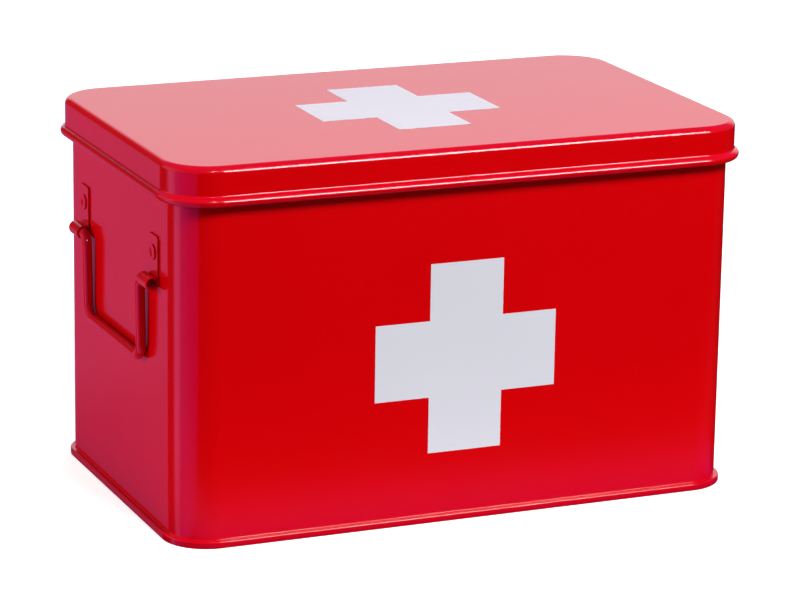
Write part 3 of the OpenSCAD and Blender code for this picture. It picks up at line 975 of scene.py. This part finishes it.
# %% [markdown]
# ## Rivets
#
# Each rivet is set from outside and has a round dimple in its head, which catches a ring of light. A bump
# map would fake the dimple, but its rim would stay flat from the side. So the head is a cylinder whose top
# is inset and pushed in ring by ring, and its rim is beveled. A shank goes through the wall to a button
# inside.

# %% Dish a rivet
HEAD_H = 0.7 * mm
DISH_H = 0.5 * mm
DISH_RINGS = 6
RIM_SHARE = 0.22
HEAD_EDGE = 0.2 * mm
SHANK_R = 1.6 * mm
BUTTON_R = 2.6 * mm
BUTTON_H = 0.8 * mm
BUTTON_EDGE = 0.25 * mm


def rod(name, radius, start, end, sides=32):
    """A cylinder along X, from one place to another."""
    bpy.ops.object.select_all(action="DESELECT")
    bpy.ops.mesh.primitive_cylinder_add(
        vertices=sides, radius=radius, depth=end - start,
        location=((start + end) / 2, 0, 0), rotation=(0, pi / 2, 0),
    )
    return settle(bpy.context.active_object, name)


def dished_rivet(head_r, plate_t):
    """A rivet along X through a plate and the wall, with the plate's outside at zero."""
    head = rod("rivet", head_r, 0, HEAD_H, sides=48)
    rim = RIM_SHARE * head_r
    for ring in range(DISH_RINGS):
        pick(head, "FACE", lambda face: face.normal.x > 0.99 and len(face.verts) > 8)
        bpy.ops.mesh.inset(thickness=(head_r - rim) / DISH_RINGS if ring else rim)
        if ring:
            share, before = 1 - ring / DISH_RINGS, 1 - (ring - 1) / DISH_RINGS
            fall = DISH_H * (before**2 - share**2)
            bpy.ops.transform.translate(value=(-fall, 0, 0))
        close_edit()
    soften(head, HEAD_EDGE)
    reach = plate_t + SHEET
    button = soften(rod("button", BUTTON_R, -reach - BUTTON_H, -reach), BUTTON_EDGE)
    shank = rod("shank", SHANK_R, -reach, 0)
    return smooth(weld("rivet", head, button, shank), ROUND_TURN)


print("A rivet's dish is pushed in", DISH_RINGS - 1, "times")

# %% [markdown]
# The handle brackets have one rivet each. The four are copies of one, and are joined into one piece, because
# a fitter takes them all from the same bag.

# %% Set the handle rivets
low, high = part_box("bracket_rivets")
rivet_z = (low.z + high.z) / 2
master = dished_rivet((high.z - low.z) / 2, BRACKET_T)
rivets = []
for end in ENDS:
    for side in ("front", "rear"):
        low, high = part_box(f"bracket_right_{side}")
        rivet = shift(copy_of(master, "rivet"), (half_w + BRACKET_T, (low.y + high.y) / 2, rivet_z))
        rivets.append(rivet if end == "right" else to_left_end(rivet))
bpy.data.objects.remove(master)
dress(weld("handle_rivets", *rivets), red_coat, "red_coat", "box", "bracket_rivets")

# %% [markdown]
# ## The handles
#
# A handle is one round wire: across, down, along the grip bar, up and across again. Cylinders with spheres at
# the corners would show joints, so its line has its four corners beveled as points into real bends, and the
# curve made of it gets a round section. The bar hangs a little closer to the wall than the pivots do, as it
# does in the photograph.


# %% Bend the handles
def bent_wire(name, corners, radii, thickness):
    """A round wire through corners, with a bend of its own radius at each corner but the ends."""
    piece = line_through(name, corners)
    for corner, radius in zip(corners[1:-1], radii):
        pick(piece, "VERT", lambda end: (end.co - Vector(corner)).length < CLOSE)
        bpy.ops.mesh.bevel(offset=radius, segments=14, affect="VERTICES")
        close_edit()
    piece = as_curve(piece)
    piece.data.bevel_depth = thickness / 2
    piece.data.bevel_resolution = 10
    piece.data.use_fill_caps = True
    return smooth(face_out(as_mesh(piece, name)), ROUND_TURN)


LEG_Y = 44 * mm
LEAN = 0.7 * mm
PIVOT_BEND = 5.5 * mm
GRIP_BEND = 7.5 * mm
low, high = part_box("handle_right")
handle_t = high.x - low.x
bar_z = low.z + handle_t / 2
bar_x = pivot.x - LEAN
path = [
    (pivot.x, high.y, pivot.z), (pivot.x, LEG_Y, pivot.z), (bar_x, LEG_Y, bar_z),
    (bar_x, -LEG_Y, bar_z), (pivot.x, -LEG_Y, pivot.z), (pivot.x, low.y, pivot.z),
]
bends = [PIVOT_BEND, GRIP_BEND, GRIP_BEND, PIVOT_BEND]
for end in ENDS:
    handle = bent_wire(f"drop_handle_{end}", path, bends, handle_t)
    if end == "left":
        to_left_end(handle)
    dress(handle, red_coat, "red_coat", f"{end}_handle", f"handle_{end}")

# %% [markdown]
# ## The hinge straps
#
# Each hinge strap is slit into three tongues. The middle one is rolled over the wire in the bead. The two
# side tongues are bent out below the wire, and the lid's notch comes down on them when it is fully open.
# Separate strips laid over a plate would flicker where their faces coincide. So the tongues are ribbons,
# merged with the plate's ribbon below the slits, and the whole is given its thickness at once.

# %% Roll the hinge straps
CURL_W = 12 * mm
SLIT = 0.6 * mm
SLIT_DEPTH = 6 * mm
BEND_R = 1.1 * mm
STOP_DROP = 1.5 * mm
STOP_FALL = 2.4 * mm
STOP_SHY = 0.1 * mm
STRAP_CURL_END = -115
STRAP_EDGE = 0.15 * mm
strap_mid = STRAP_T / 2
strap_y = half_d + strap_mid
low, high = strap_boxes[1]
strap_w = high.x - low.x
side_w = (strap_w - CURL_W) / 2 - SLIT
tongue_r = wire_r + STRAP_FIT + strap_mid
slit_z = bead_z - 2 * wire_r - SLIT_DEPTH
tip_z = bead_z - STOP_DROP - strap_mid
marks = [CURL_W / 2, CURL_W / 2 + SLIT, strap_w / 2]
marks = [-mark for mark in reversed(marks)] + marks
plate_line = [(x, strap_y, (low.z + slit_z) / 2) for x in marks]
curl_line = (
    [(strap_y, slit_z)]
    + arc((strap_y + BEND_R, bead_z + tongue_r - BEND_R), BEND_R, 180, 90, 6)
    + arc((half_d + bead_out, bead_z), tongue_r, 90, STRAP_CURL_END, 28)
)
stop_line = [(strap_y, slit_z), (strap_y, tip_z - STOP_FALL), (high.y - STOP_SHY, tip_z)]
pieces = [
    ribbon("plate", plate_line, (0, 0, slit_z - low.z)),
    ribbon("curl", [(0, y, z) for y, z in curl_line], (CURL_W, 0, 0)),
]
for side in (-1, 1):
    stop = ribbon("stop", [(0, y, z) for y, z in stop_line], (side_w, 0, 0))
    pieces.append(shift(stop, (side * (strap_w - side_w) / 2, 0, 0)))
strap = weld("strap", *pieces)
pick(strap, "VERT")
bpy.ops.mesh.remove_doubles(threshold=CLOSE)
close_edit()
master = smooth(thicken(strap, STRAP_T, STRAP_EDGE), ROUND_TURN)
for node, (low, high) in zip(("hinge_strap_left", "hinge_strap_right"), strap_boxes):
    strap = shift(copy_of(master, f"rolled_{node}"), ((low.x + high.x) / 2, 0, 0))
    dress(strap, red_coat, "red_coat", "box", node)
bpy.data.objects.remove(master)

# %% [markdown]
# Two smaller rivets hold each strap. They are dished like those of the handles, so the same helper makes
# one, which is turned towards the back and copied.

# %% Set the hinge rivets
HINGE_HEAD_R = 3 * mm
hinge_low, hinge_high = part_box("hinge_rivets")
master = dished_rivet(HINGE_HEAD_R, STRAP_T)
only(master)
bpy.ops.transform.rotate(value=-pi / 2, orient_axis="Z", center_override=(0, 0, 0))
settle(master)
rivets = []
for low, high in strap_boxes:
    for z in (hinge_low.z + HINGE_HEAD_R, hinge_high.z - HINGE_HEAD_R):
        rivets.append(shift(copy_of(master, "rivet"), ((low.x + high.x) / 2, half_d + STRAP_T, z)))
bpy.data.objects.remove(master)
dress(weld("strap_rivets", *rivets), red_coat, "red_coat", "box", "hinge_rivets")

# %% [markdown]
# ## The crosses
#
# The two crosses are printed in white enamel. A painted texture would need an exact mask, and its edge would
# blur in a close view. A thin block does better: its four sides are extruded into arms, and its outer edges
# are softened, because enamel draws back a little as it dries.

# %% Print the crosses
CROSS_BAR = 42 * mm
ENAMEL_EDGE = 0.06 * mm


def enamel_cross(name, node, axis):
    """A cross as large as its node, thin along one axis."""
    low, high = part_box(node)
    middle = (low + high) / 2
    size = [CROSS_BAR, CROSS_BAR, CROSS_BAR]
    size[axis] = (high - low)[axis]
    bpy.ops.object.select_all(action="DESELECT")
    bpy.ops.mesh.primitive_cube_add(size=1, location=middle)
    piece = bpy.context.active_object
    piece.scale = size
    settle(piece, name)
    arm = (high.x - low.x - CROSS_BAR) / 2
    ways = [Vector(way) for way in ((1, 0, 0), (0, 1, 0), (0, 0, 1)) if not way[axis]]
    for way in ways + [-way for way in ways]:
        side = middle + way * CROSS_BAR / 2
        pick(piece, "FACE", lambda face: (face.calc_center_median() - side).length < CLOSE)
        bpy.ops.mesh.extrude_region_move(TRANSFORM_OT_translate={"value": way * arm})
        close_edit()
    return smooth(soften(piece, ENAMEL_EDGE, segments=2), ROUND_TURN)


front_cross = enamel_cross("printed_front_cross", "front_cross", 1)
dress(front_cross, white_enamel, "white_enamel", "box", "front_cross")
lid_cross = enamel_cross("printed_lid_cross", "lid_cross", 2)
dress(lid_cross, white_enamel, "white_enamel", "lid", "lid_cross")

# %% [markdown]
# ## The tray
#
# The tray is drawn like the lid, with a radius round its floor, and its rim is rolled outwards. It follows
# the same rounded rectangle further in, so it is one more profile: floor, radius, wall and roll.

# %% Draw the tray
TRAY_RIM_R = 1.3 * mm
TRAY_ROLL_END = -110
TRAY_FLOOR_R = 3 * mm
HOLE_INSET = 2 * mm
floor_in = -CORNER_R + HOLE_INSET
roll_out = tray_high.x - half_w - TRAY_RIM_R
tray_line = roll_out - TRAY_RIM_R + mid
turn = TRAY_FLOOR_R - mid
tray_profile = (
    [(floor_in, tray_low.z + mid)]
    + arc((tray_line - turn, tray_low.z + TRAY_FLOOR_R), turn, -90, 0, 8)
    + arc((roll_out, tray_high.z - TRAY_RIM_R), TRAY_RIM_R - mid, 180, TRAY_ROLL_END, 20)
)
tray = sheet_of(fill_middle(carry_round("tray", tray_profile), tray_low.z + mid))
dress(smooth(tray), red_coat, "red_coat", "tray", "tray_shell")

# %% [markdown]
# ## Dividers
#
# A divider is cut from sheet and has a foot, which is spot-welded to the tray's floor. Its lower corners are
# cut off where the tray's floor turns up. The foot starts just inside the plate, so that no two faces lie in
# the same place.

# %% Cut the dividers
DIVIDER_T = 0.8 * mm
EDGE_R = 0.15 * mm


def plate(name, low, high, foot_low, foot_high, cut_ends):
    """A divider with a foot, whose lower corners are cut off at some of its ends."""
    piece = block(name, low, high)
    for end in cut_ends:
        def at_end(edge):
            return all((corner.co - end).length < CLOSE + DIVIDER_T for corner in edge.verts)

        pick(piece, "EDGE", at_end)
        bpy.ops.mesh.bevel(offset=TRAY_FLOOR_R, segments=1, affect="EDGES")
        close_edit()
    soften(piece, EDGE_R, segments=2, least=30)
    return smooth(weld(name, piece, block("foot", foot_low, foot_high, EDGE_R)))


low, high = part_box("tray_long_divider")
long_divider = plate(
    "long_divider", low, (high.x, low.y + DIVIDER_T, high.z),
    (low.x + TRAY_FLOOR_R, low.y + EDGE_R, low.z), (high.x - TRAY_FLOOR_R, high.y, low.z + DIVIDER_T),
    [Vector((low.x, low.y, low.z)), Vector((high.x, low.y, low.z))],
)
dress(long_divider, red_coat, "red_coat", "tray", "tray_long_divider")
low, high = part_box("tray_short_divider_right")
for end in ENDS:
    divider = plate(
        "short_divider_" + end, low, (low.x + DIVIDER_T, high.y, high.z),
        (low.x + EDGE_R, low.y + TRAY_FLOOR_R, low.z), (high.x, high.y - EDGE_R, low.z + DIVIDER_T),
        [Vector((low.x, low.y, low.z))],
    )
    if end == "left":
        to_left_end(divider)
    dress(divider, red_coat, "red_coat", "tray", "tray_short_divider_" + end)

# %% [markdown]
# ## Ledges and grips
#
# The ledges that carry the tray are sheet bent to an angle, so each is a strip. The grips are short wires
# with two bends, of the same bare steel as the wire in the lid, and are made as the handles are.

# %% Bend the ledges and the grips
LEDGE_T = 1 * mm
WIRE_BEND = 6 * mm
ledge_low, ledge_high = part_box("tray_ledge_right")
turned = arc((ledge_high.x - 2 * LEDGE_T, ledge_high.z - 2 * LEDGE_T), 1.5 * LEDGE_T, 0, 90, 8)
upright = (ledge_high.x - LEDGE_T / 2, ledge_low.z)
tip = (ledge_low.x, ledge_high.z - LEDGE_T / 2)
ledge_line = [(x, 0, z) for x, z in [upright] + turned + [tip]]
ledge_across = (0, ledge_high.y - ledge_low.y, 0)
low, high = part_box("tray_grip_right")
thick = high.x - low.x
leg, bar = high.y - thick / 2, high.z - thick / 2
profile = ((leg, low.z), (leg, bar), (-leg, bar), (-leg, low.z))
corners = [((low.x + high.x) / 2, y, z) for y, z in profile]
for end in ENDS:
    ledge = smooth(strip("ledge_" + end, ledge_line, ledge_across, LEDGE_T, EDGE_R))
    grip = bent_wire("grip_" + end, corners, [WIRE_BEND, WIRE_BEND], thick)
    if end == "left":
        to_left_end(ledge)
        to_left_end(grip)
    dress(ledge, red_coat, "red_coat", "box", "tray_ledge_" + end)
    dress(grip, steel, "wire_steel", "tray", "tray_grip_" + end)
